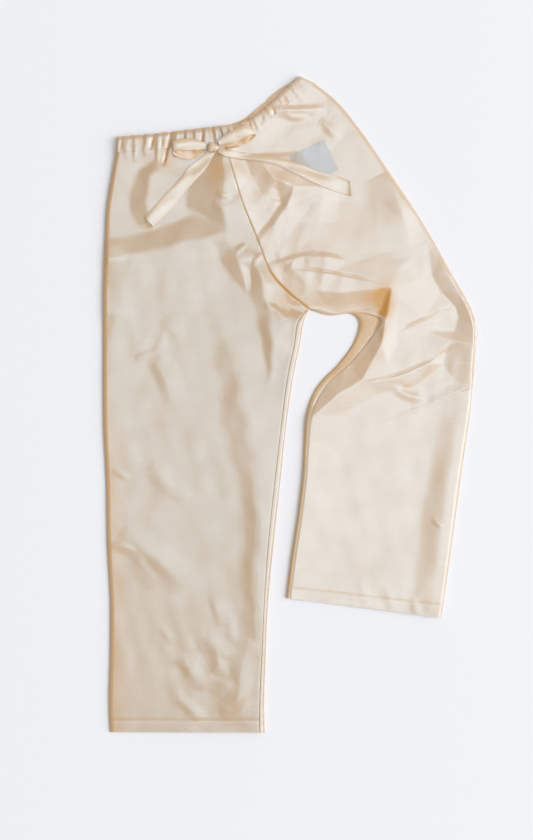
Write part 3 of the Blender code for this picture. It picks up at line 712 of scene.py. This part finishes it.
def back_panel(line, rim):
    """Middle surface of the back: the roll at the side, the flat, then over the inner edge; and the
    painted shade on its wrap over the inner edge.
    """
    wide = stretch(line)
    width = wide["width"]
    wrap = np.maximum(line["wrap"], LEAST_WRAP)[:, None]
    roll = np.clip(0.85 * wrap, INNER_ROLL, 34)
    bevel = ease((roll - 6) / 12)
    ends = np.hstack([width * 0 + SIDE_ROLL, width - roll])
    edge = section(line, ends, False)
    tops = front_height(edge[..., 0], edge[..., 1], ends, wide)
    low = WALL / 2
    turn = np.radians(np.linspace(183, 262, 9))[None]
    middle = (tops[:, :1] + low) / 2
    roll_u = SIDE_ROLL + SIDE_ROLL * np.cos(turn) + width * 0
    roll_z = middle + (middle - low) * np.sin(turn)
    share = np.linspace(0, 1, BACK_COUNT)[None]
    flat_u = SIDE_ROLL + (width - SIDE_ROLL - INNER_ROLL - 1) * share
    flat = section(line, flat_u, False)
    inward = np.minimum(flat_u - SIDE_ROLL, width - INNER_ROLL - flat_u)
    bumps = folds(flat[..., 0], flat[..., 1], BACK_FOLDS)
    bumps = bumps + 0.5 * np.abs(rumple(flat[..., 0] + 300, flat[..., 1]))
    flat_z = low + np.clip(bumps, 0, 1.7) * ease(inward / 30)
    middle = (tops[:, 1:] + low) / 2
    turn = np.radians(np.linspace(-66, 90, 12))[None]
    over_share = np.linspace(0, 1, 7)[None, 1:]
    over_u = width - roll - (wrap - roll) * over_share
    over = section(line, over_u, False)
    over_z = front_height(over[..., 0], over[..., 1], over_u, wide)
    over_z = over_z - 0.9 * bell((over_u - width + wrap) / 3.0)
    rise_up = np.clip(np.sin(turn), 0, 1)
    tucked = INNER_ROLL * (1 - np.cos(np.minimum(turn, 0)))
    upper = (1 - bevel) * roll * (1 - np.cos(np.maximum(turn, 0))) + bevel * roll * rise_up**1.4
    closed_u = np.hstack([width - tucked - upper, over_u])
    closed_z = np.hstack([middle + (middle - low) * np.sin(turn), over_z])
    count = closed_u.shape[1]
    rise = wide["closed"]
    side = np.radians(np.linspace(0, 1, count)[None] * (65 - 30 * (1 - rise)) - 70)
    open_u = np.linspace(0, 1, count)[None] * (INNER_ROLL - SEAM_GAP - 1.3 * rise) + width - INNER_ROLL
    open_z = low + (middle - low) * rise * (1 + np.sin(side))
    is_leg = line["leg"][:, None]
    u = np.hstack([roll_u, flat_u, np.where(is_leg, closed_u, open_u)])
    z = np.hstack([roll_z, flat_z, np.where(is_leg, closed_z, open_z)])
    # Painted shade over the wrap across the inner edge, more where it bevels, and darker near its edge by
    # rim.
    by_edge = rim * (1 - bevel) * bell((width - u) / 2.6)
    shade = (0.12 + 0.5 * bevel + by_edge) * (u > width - wrap - 0.1) * is_leg
    return np.dstack([section(line, u, False), z]), shade


FRONT_STEP = 2.4
BACK_STEP = 7.0
BACK_COUNT = 34
LEG_LINES = {side: lines(side, FRONT_STEP) for side in SIDES}
BACK_LINES = {side: lines(side, BACK_STEP) for side in SIDES}
made = {}
skin = {}
# The right back takes the darker silk, which is painted shade.
for side, look, rim in (("right", shaded_silk, 0.1), ("left", silk, 0.6)):
    name = f"back_{side}_leg"
    line = BACK_LINES[side]
    panel, shade = back_panel(line, rim)
    made[name], skin[name] = shell(f"{name}_cloth", panel, front_wall(line), -1, look, 0.0, shade)

# The two front panels, of the same silk, cut like the backs with a straighter fork. They lie on
# the backs and carry the photographed folds. A blank label's grey shows through the left one.
LABEL_CORNERS = ((-1, 429), (58, 457), (80, 405), (22, 378))
LABEL_SHOWS = 0.75
# Which way the drawstring's end lies from the label, which stops showing beside it.
STRING_SIDE = (0.409, 0.913, 0)


def seen_label(tree, spot, colour):
    """The grey of the label below, where the thin silk lies on it and lets it through."""
    a, b, c = (np.array(LABEL_CORNERS[i], float) for i in (0, 1, 2))
    centre = (np.array(LABEL_CORNERS, float).mean(0) - MIDDLE) * MM
    turn = math.atan2(*(b - a)[::-1])
    sockets = {"Vector": spot, "Location": (*centre, 0), "Rotation": (0, 0, turn)}
    placed = node(tree, "ShaderNodeMapping", sockets, vector_type="TEXTURE")
    parts = node(tree, "ShaderNodeSeparateXYZ", {0: placed.outputs[0]})
    inside = []
    for axis, edge in (("X", b - a), ("Y", c - b)):
        half = np.hypot(*edge) / 2 * MM
        size = calc(tree, "ABSOLUTE", parts.outputs[axis])
        inside.append(spread(tree, size, half - 0.0005, half + 0.0025, 1.0, 0.0))
    above = node(tree, "ShaderNodeVectorMath", {0: spot, 1: STRING_SIDE}, operation="DOT_PRODUCT")
    free = spread(tree, above.outputs["Value"], 0.366, 0.374, 0.0, 1.0)
    both = calc(tree, "MULTIPLY", *inside)
    both = calc(tree, "MULTIPLY", both, free)
    return blend(tree, calc(tree, "MULTIPLY", both, LABEL_SHOWS), colour, linear("B3AAA6"))


# The left front's silk: lighter, which is painted light, with the label's grey showing through.
painted_light_silk = dupion("cream dupion silk over the label, painted light", "E5CDB5", "DABFA4", True)


def front_panel(line, count, rim):
    """Middle surface of the front: the roll at the side, then the top, down into the seam; with
    painted shade along the seam and the outer edge, and where painted shade in hollows may show.
    """
    wide = stretch(line)
    width = wide["width"]
    end = width - wide["wrap"] - SEAM_GAP
    turn = np.radians(np.linspace(177, 94, 9))[None]
    share = np.linspace(0, 1, count)[None]
    by_seam = end - np.array([[4.6, 3.2, 2.1, 1.3, 0.6, 0.0]])
    broad = SIDE_ROLL + (end - 6.5 - SIDE_ROLL) * share
    u = np.hstack([SIDE_ROLL + SIDE_ROLL * np.cos(turn) + width * 0, broad, by_seam])
    flat = section(line, u)
    z = front_height(flat[..., 0], flat[..., 1], u, wide)
    top = z[:, 9:10]
    middle = (top + WALL / 2) / 2
    z[:, :9] = middle + (z[:, :9] - middle) * np.sin(turn)
    deep = np.where(wide["leg"], 0.45, 0.8)
    z = z - deep * bell((end - u) / 1.5)
    from_hem = wide["to_hem"]
    z = z - 0.4 * bell((from_hem - HEM_DEPTH + 1.0) / 2.2)
    # Painted shade: a line along the seam, wider and darker near the fork, and a band along the outer edge
    # by rim; fade keeps painted shade in hollows off both edges.
    fork = bell((wide["inner_y"] - 195) / 42)
    sewn = np.where(wide["leg"], 0.3, 0.5) + 0.4 * fork
    seam = sewn * bell((end - u) / (1.4 + 3.6 * fork))
    seam = seam + rim * bell(u / (10 + 11 * ease((600 - from_hem) / 160)))
    fade = ease((u - 12) / 14) * ease((end - u - 6) / 10)
    return np.dstack([flat, z]), seam, fade


# The right front takes the darker silk, which is painted shade, and the left the lighter one, which is
# painted light; rim is the painted shade along the outer edge.
for side, look, count, rim in (("right", shaded_silk, 132, 0.4), ("left", painted_light_silk, 126, 0.08)):
    name = f"front_{side}_leg"
    line = LEG_LINES[side]
    panel, seam, fade = front_panel(line, count, rim)
    made[name], skin[name] = shell(f"{name}_cloth", panel, front_wall(line), 1, look, fade, seam)

for name in ("back_right_leg", "back_left_leg", "front_right_leg", "front_left_leg"):
    rests = "floor" if name.startswith("back") else f"{name.replace('front', 'back')}_cloth"
    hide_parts(name)
    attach(made[name], "root")

# The casing round the waist: a band of the same silk, folded over the drawstring and sewn down,
# in a back piece and two front halves that stop at the slit. The string gathers it.
CASING_WALL = 2.4
CASING_DEPTH = 26.0
SLIT_WIDTH = 5.0
CASING_STEP = 1.6
CASING_BACK_STEP = 5.0
# Pinches that stay inside the band: how far along it, depth and half width.
PINCHES = {
    "right": rows_in("""
0.05 0.8 3; 0.12 1.2 4.4; 0.19 0.8 2.4; 0.26 1.3 3.6; 0.34 1.9 2.6; 0.42 1.2 4.4; 0.51 2.6 2.8
0.57 1.4 3.6; 0.64 2.2 3; 0.73 1.2 4; 0.8 2.4 3; 0.9 1.6 3.4
"""),
    "left": rows_in("""
0.1 0.8 4; 0.29 1.4 3.4; 0.44 2.4 2.8; 0.58 0.9 4.6; 0.73 2.2 3; 0.88 1.6 3.4
"""),
}


def casing(side, step, front):
    """Middle surface of half the casing, from the side seam to the slit, edge row first."""
    line = {name: values[:1] for name, values in LEG_LINES[side].items()}
    width = float(line["width"][0])
    end = width - (SLIT_WIDTH / 2 if front else 0)
    roll = 4.0
    count = 2 * int((end - roll) / step / 2)
    u = np.hstack([[0.0, 0.6, 1.3, 2.2, 3.1], np.linspace(roll, end, count)])
    share = u / width
    seam = section(line, u[None], front)[0]
    edge = waist_edge(side, share, front)
    pull = np.zeros_like(u)
    for at, depth, half in PINCHES[side]:
        pull += depth * bell((u - at * width) / half)
    edge = edge + (seam - edge) * (pull[:, None] * 0.9 - 0.8) / CASING_DEPTH
    down = np.linspace(0, 1 - 0.6 * SEAM_GAP / CASING_DEPTH, 13)[:, None]
    flat = edge + (seam - edge) * down[..., None]
    x, y = flat[..., 0], flat[..., 1]
    wide = {name: np.full_like(x, float(values[0, 0])) for name, values in stretch(line).items()}
    wide["inner_lift"][:] = REST
    lean = 0.3 * down * np.sin(u * 0.31 + 2 * np.sin(u * 0.083))[None]
    pinch = np.zeros_like(x)
    for at, depth, half in PINCHES[side]:
        away = (u[None] - at * width + (down - 0.4) * 9 * np.sin(at * 40)) / half
        pinch -= depth * bell(away) * (1.05 - 0.7 * np.abs(down - 0.4 + 0.4 * np.cos(at * 50)))
    tube = np.sin(np.pi * np.clip(down, 0, 1)) ** 0.5
    raised = front_height(x, y, np.broadcast_to(u, x.shape), wide)
    raised = np.maximum(raised + 0.4 * tube + (0.8 * pinch + lean) * tube, 6.0)
    low = CASING_WALL / 2
    middle = (raised[:, 5:6] + low) / 2
    if front:
        z = raised - 1.2 * ease(1 - down / 0.22)
        turn = np.radians((176, 156, 136, 120, 104))
    else:
        z = low + 0.3 * np.clip(gathers(x, y) - pinch, 0, 4.5) * tube
        turn = np.radians((184, 204, 224, 240, 256))
    z[:, :5] = middle + (middle - low) * np.sin(turn)
    shift = roll + roll * np.cos(turn) - u[:5]
    heading = flat[:, 6] - flat[:, 5]
    heading = heading / np.linalg.norm(heading, axis=1)[:, None]
    flat[:, :5] += heading[:, None, :] * shift[None, :, None]
    return np.dstack([flat, z])


# The casing fronts take painted shade in their hollows and pinches, the right one in the darker,
# painted-shade silk and the left in the lighter, painted-light silk. The back's lining is all painted shade
# where it shows past the front's edge.
for side, look in (("right", shaded_silk), ("left", painted_light_silk)):
    name = f"casing_front_{side}"
    band = casing(side, CASING_STEP, True)
    made[name], skin[name] = shell(f"{name}_cloth", band, CASING_WALL, 1, look, 0.9)
back_half = casing("left", CASING_BACK_STEP, False)[:, ::-1]
band = np.hstack([casing("right", CASING_BACK_STEP, False), back_half[:, 1:]])
made["casing_back"], _ = shell("casing_back_cloth", band, CASING_WALL, -1, silk, painted_lining_shade=1.0)
for name, rests, flat in (
    ("casing_back", "floor", (0.40, 0.028)),
    ("casing_front_right", "casing_back_cloth", (0.21, 0.028)),
    ("casing_front_left", "casing_back_cloth", (0.20, 0.028)),
):
    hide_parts(name)
    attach(made[name], "root")

# Lockstitches in cream silk thread, 3.2 mm apart: one row along the hem of each front and back,
# and one where each half of the casing is sewn down. Each stitch lies half sunk in the cloth.
STITCH_PITCH = 3.2
STITCH_LONG = 2.4
STITCH_WIDE = 0.5
HEM_INSET = 2.5

thread, tree, shader = finish("cream silk thread", {"Roughness": 0.5, "Sheen Weight": 0.1})
spot = node(tree, "ShaderNodeTexCoord").outputs["Object"]
tone = blend(tree, noise(tree, spot, 700.0, 1.0), linear("E2D2B9"), linear("CDB594"))
tree.links.new(tone, shader.inputs["Base Color"])


def stitcher(values):
    """Geometry nodes that lay stitches along the edges of a mesh, and the values by their keys."""
    tree = bpy.data.node_groups.new("lockstitch", "GeometryNodeTree")
    kinds = {"Path": "Geometry", "Pitch": "Float", "Long": "Float", "Wide": "Float", "Look": "Material"}
    for name, kind in kinds.items():
        tree.interface.new_socket(name, in_out="INPUT", socket_type=f"NodeSocket{kind}")
    tree.interface.new_socket("Stitches", in_out="OUTPUT", socket_type="NodeSocketGeometry")
    given = node(tree, "NodeGroupInput").outputs
    curve = node(tree, "GeometryNodeMeshToCurve", {"Mesh": given["Path"]})
    sockets = {0: curve.outputs[0], "Length": given["Pitch"]}
    places = node(tree, "GeometryNodeCurveToPoints", sockets, mode="LENGTH")
    turned = node(tree, "FunctionNodeAlignRotationToVector", {"Vector": places.outputs["Tangent"]}, axis="X")
    size = node(tree, "ShaderNodeCombineXYZ", {0: given["Long"], 1: given["Wide"], 2: given["Wide"]})
    bead = node(tree, "GeometryNodeMeshIcoSphere", {"Radius": 0.5, "Subdivisions": 2})
    sockets = {"Points": places.outputs["Points"], "Instance": bead.outputs["Mesh"]}
    sockets.update(Rotation=turned.outputs[0], Scale=size.outputs[0])
    laid = node(tree, "GeometryNodeInstanceOnPoints", sockets)
    whole = node(tree, "GeometryNodeRealizeInstances", {0: laid.outputs[0]})
    dressed = node(tree, "GeometryNodeSetMaterial", {0: whole.outputs[0], "Material": given["Look"]})
    node(tree, "NodeGroupOutput", {0: dressed.outputs[0]})
    keys = {item.name: item.identifier for item in tree.interface.items_tree}
    return tree, {keys[name]: value for name, value in values.items()}


def stitches(name, paths):
    """One object with a row of stitches along each path of points in table millimetres."""
    points = []
    edges = []
    for path in paths:
        edges += [(len(points) + i, len(points) + i + 1) for i in range(len(path) - 1)]
        points += ((path - (*MIDDLE, 0.0)) * MM).tolist()
    mesh = bpy.data.meshes.new(name)
    mesh.from_pydata(points, edges, [])
    holder = put(name, mesh)
    modifier = holder.modifiers.new("lockstitch", "NODES")
    modifier.node_group = LOCKSTITCH
    for key, value in STITCH_VALUES.items():
        modifier[key] = value
    ready = holder.evaluated_get(bpy.context.evaluated_depsgraph_get())
    plain = bpy.data.meshes.new_from_object(ready)
    plain.name = name
    plain.shade_smooth()
    holder.modifiers.remove(modifier)
    holder.data = plain
    return holder


LOCKSTITCH, STITCH_VALUES = stitcher(
    {"Pitch": STITCH_PITCH * MM, "Long": STITCH_LONG * MM, "Wide": STITCH_WIDE * MM, "Look": thread}
)
rows_of_stitches = {"hem": [], "casing": []}
for side in SIDES:
    for half, table in (("front", LEG_LINES), ("back", BACK_LINES)):
        grid = skin[f"{half}_{side}_leg"]
        row = int(np.argmin(np.abs(table[side]["to_hem"] - HEM_DEPTH + HEM_INSET)))
        last = -7 if half == "front" else 43
        rows_of_stitches["hem"].append(grid[row, 10:last])
    rows_of_stitches["casing"].append(skin[f"casing_front_{side}"][-2, 6:])
for where, paths in rows_of_stitches.items():
    sewn = stitches(f"{where}_stitches", paths)
    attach(sewn, "root")

# The drawstring is a flat tape of the same silk, folded and stitched along its edge. It comes
# out of the slit, is tied in a bow at the centre, and its two ends lie across the fronts.
TAPE_WALL = 0.8
TAPE_COLUMNS = "left_x left_y right_x right_y lift"
END_RIGHT = columns(TAPE_COLUMNS, """
-143 436 -131 433 0.9; -160 422 -144 409 0.6; -176 408 -160 391 0.4; -188 393 -173 376 0.4
-202 377 -188 359 0.4; -224 353 -212 331 0.4; -250 324 -236 307 0.4
""")
END_LEFT = columns(TAPE_COLUMNS, """
-123 443 -125 434 0.9; -86 435 -104 426 0.6; -47 431 -58 420 0.4; -1 421 -22 413 0.4
24 412 5 400 0.4; 50 402 31 387 0.4; 82 394 72 370 0.4; 102 386 105 360 0.4
""")
LOOP_RIGHT = columns(TAPE_COLUMNS, """
-146 447 -147 439 0.8; -166 442 -166 424 0.5; -186 442 -183 424 0.6; -199 446 -197 428 1.6
-203 451 -202 434 3.4; -197 455 -197 437 4.6; -172 458 -170 438 5.2; -145 451 -146 441 4.4
""")
LOOP_LEFT = columns(TAPE_COLUMNS, """
-123 452 -122 447 0.8; -106 460 -97 443 0.8; -88 470 -77 451 0.8; -76 478 -64 459 1.6
-71 482 -60 464 3.4; -77 482 -67 465 4.6; -101 472 -92 453 5.2; -125 455 -122 446 4.4
""")
KNOT = (-134, 443)
KNOT_SIZE = (9, 8, 4.5)

silk_tape = dupion("cream silk tape", "E6D1B9", "DDC5A8")
cover_points = []
cover_faces = []
for name in ("front_right_leg", "front_left_leg", "casing_front_right", "casing_front_left"):
    grid = skin[name]
    number = np.arange(grid[..., 0].size).reshape(grid.shape[:2]) + len(cover_points)
    cover_points += grid.reshape(-1, 3).tolist()
    cover_faces += quads(number).tolist()
COVER = BVHTree.FromPolygons(cover_points, cover_faces)


def cloth_top(x, y, around):
    """The highest cloth within a few millimetres of a point."""
    best = 0.0
    for step in range(9):
        reach = around if step else 0.0
        turn = step * math.pi / 4
        start = Vector((x + math.cos(turn) * reach, y + math.sin(turn) * reach, 90))
        hit = COVER.ray_cast(start, Vector((0, 0, -1)))
        if hit[0] is not None:
            best = max(best, hit[0].z)
    return best


TAPE_STEPS = 8
TAPE_ACROSS = 11
TAPE_REACH = 3.5
TAPE_SINK = 0.3


def tape(name, rows):
    """A strip of tape from the knot outward, lying on the cloth under it."""
    spans = len(rows["lift"]) - 1
    place = np.linspace(0, spans, spans * TAPE_STEPS + 1)
    table = {column: along(values, place) for column, values in rows.items()}
    lift = table["lift"][:, None]
    f = np.linspace(0, 1, TAPE_ACROSS)[None, :, None]
    flat = pair(table, "left")[:, None] * (1 - f) + pair(table, "right")[:, None] * f
    under = np.array([[cloth_top(*p, TAPE_REACH) for p in row] for row in flat])
    for axis in (0, 1):
        beside = np.maximum(np.roll(under, 1, axis), np.roll(under, -1, axis))
        under = np.maximum(under, beside * 0.5 + under * 0.5)
    for _ in range(3):
        under[1:-1] = (under[:-2] + 2 * under[1:-1] + under[2:]) / 4
        under[:, 1:-1] = (under[:, :-2] + 2 * under[:, 1:-1] + under[:, 2:]) / 4
    round_top = np.sin(np.pi * f[..., 0]) ** 0.6
    curl = round_top * (0.8 + 0.35 * np.sin(place[:, None] * 2.3 + f[..., 0] * 4.0))
    z = under + TAPE_WALL / 2 + lift - TAPE_SINK + curl
    # Painted shade along the tape's edges and on its low parts, under the loops' raised ends.
    below = 0.8 * ease((lift[-1] - lift) / 3.4)
    tint = np.maximum(0.45 * (1 - round_top), below)
    return shell(name, np.dstack([flat, z]), TAPE_WALL, 1, silk_tape, 0, tint)


for name, rows, flat in (
    ("drawstring_end_right", END_RIGHT, (0.022, 0.165)),
    ("drawstring_end_left", END_LEFT, (0.020, 0.235)),
    ("bow_loop_right", LOOP_RIGHT, (0.019, 0.115)),
    ("bow_loop_left", LOOP_LEFT, (0.019, 0.125)),
):
    made[name], _ = tape(f"{name}_tape", rows)
    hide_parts(name)
    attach(made[name], "root")

KNOT_RINGS = 18
KNOT_SIDES = 36
KNOT_GAP = 0.3
ring_points = []
for ring in range(KNOT_RINGS + 1):
    tilt = math.pi * ring / KNOT_RINGS
    for step in range(KNOT_SIDES):
        turn = 2 * math.pi * step / KNOT_SIDES
        lump = 1 + 0.14 * math.cos(3 * turn + 0.6) + 0.1 * math.cos(7 * turn + 5 * math.cos(tilt))
        reach = max(math.sin(tilt), 1e-4) * lump
        ring_points.append((reach * math.cos(turn), reach * math.sin(turn), -math.cos(tilt)))
knot_points = np.array(ring_points) * KNOT_SIZE + (*KNOT, 0.0)
lowest = max(cloth_top(p[0], p[1], 1.0) - p[2] for p in knot_points[::5] if p[2] < 0)
knot_points[:, 2] += lowest + KNOT_GAP
number = np.arange(len(knot_points)).reshape(KNOT_RINGS + 1, KNOT_SIDES)
knot_faces = quads(np.hstack([number, number[:, :1]])).tolist()
knot_faces += [number[0, ::-1].tolist(), number[-1].tolist()]
# Painted shade over the whole knot.
knot_painted_shade = np.full(len(knot_points), 0.15)
knot = piece("drawstring_knot_tape", knot_points, knot_faces, silk_tape, knot_points[:, :2], knot_painted_shade)
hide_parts("drawstring_knot")
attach(knot, "root")

# The size label is a blank strip of grey woven polyester, sewn inside the left hip and lying
# between the front and the back.
LABEL_WALL = 0.9
LABEL_GAP = 1.1
label_look, tree, shader = finish("grey woven label", {"Roughness": 0.8, "IOR": 1.5})
weave = node(tree, "ShaderNodeAttribute", attribute_name="weave").outputs["Vector"]
ribs = bands(tree, weave, 240.0, 0.5, "Y")
tree.links.new(blend(tree, ribs, linear("BDBEC0"), linear("ACAEB1")), shader.inputs["Base Color"])
ribbed = node(tree, "ShaderNodeBump", {"Strength": 0.4, "Distance": 0.0001, "Height": ribs})
tree.links.new(ribbed.outputs[0], shader.inputs["Normal"])
corner = np.array(LABEL_CORNERS, float)
g, f = np.meshgrid(np.linspace(0, 1, 9), np.linspace(0, 1, 11))
g, f = g[..., None], f[..., None]
label_flat = (corner[0] * (1 - f) + corner[1] * f) * (1 - g) + (corner[3] * (1 - f) + corner[2] * f) * g
label_z = np.full(label_flat.shape[:2], WALL + LABEL_GAP + LABEL_WALL / 2)
label_grid = np.dstack([label_flat, label_z])
label, _ = shell("size_label_cloth", label_grid, LABEL_WALL, 1, label_look)
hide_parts("size_label")
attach(label, "root")
